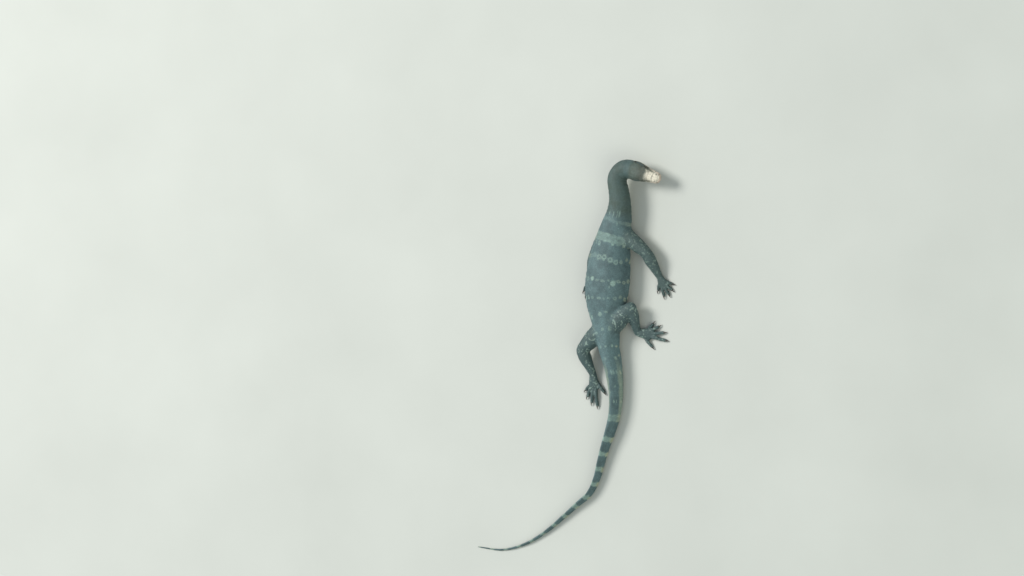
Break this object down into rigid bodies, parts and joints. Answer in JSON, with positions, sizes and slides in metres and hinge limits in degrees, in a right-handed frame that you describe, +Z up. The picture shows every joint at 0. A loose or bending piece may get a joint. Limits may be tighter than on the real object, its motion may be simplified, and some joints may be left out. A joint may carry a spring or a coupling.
{
  "type": "water monitor lizard",
  "caption": "Life-size still model of a water monitor lizard resting on its belly, head turned to its right and legs drawn back.",
  "frame": {"origin": "middle of the flat of the belly on the floor, below the widest part of the trunk", "axes": "+Z up from the floor, +Y along the trunk towards the neck, +X to the animal's right"},
  "size_m": [0.6294, 1.084, 0.0801],
  "materials": {
    "skin": "dry, finely beaded scales, dark slate grey with rows of pale spots",
    "pale_skin": "smooth pale scales of the lower jaw and throat, with dark bars",
    "eye": "wet and glossy, dark iris",
    "claw": "dark horn with a dull shine"
  },
  "bodies": {
    "root": {"eye_left": "eye", "eye_right": "eye", "head": "skin", "jaw": "pale_skin", "left_foot": "skin", "left_foot_claw_1": "claw", "left_foot_claw_2": "claw", "left_foot_claw_3": "claw", "left_foot_claw_4": "claw", "left_foot_claw_5": "claw", "left_forearm": "skin", "left_hand": "skin", "left_hand_claw_1": "claw", "left_hand_claw_2": "claw", "left_hand_claw_3": "claw", "left_hand_claw_4": "claw", "left_hand_claw_5": "claw", "left_shank": "skin", "left_thigh": "skin", "left_upper_arm": "skin", "neck": "skin", "right_foot": "skin", "right_foot_claw_1": "claw", "right_foot_claw_2": "claw", "right_foot_claw_3": "claw", "right_foot_claw_4": "claw", "right_foot_claw_5": "claw", "right_forearm": "skin", "right_hand": "skin", "right_hand_claw_1": "claw", "right_hand_claw_2": "claw", "right_hand_claw_3": "claw", "right_hand_claw_4": "claw", "right_hand_claw_5": "claw", "right_shank": "skin", "right_thigh": "skin", "right_upper_arm": "skin", "tail_1": "skin", "tail_2": "skin", "tail_3": "skin", "tail_4": "skin", "tail_5": "skin", "tail_6": "skin", "torso": "skin"}
  },
  "joints": []
}
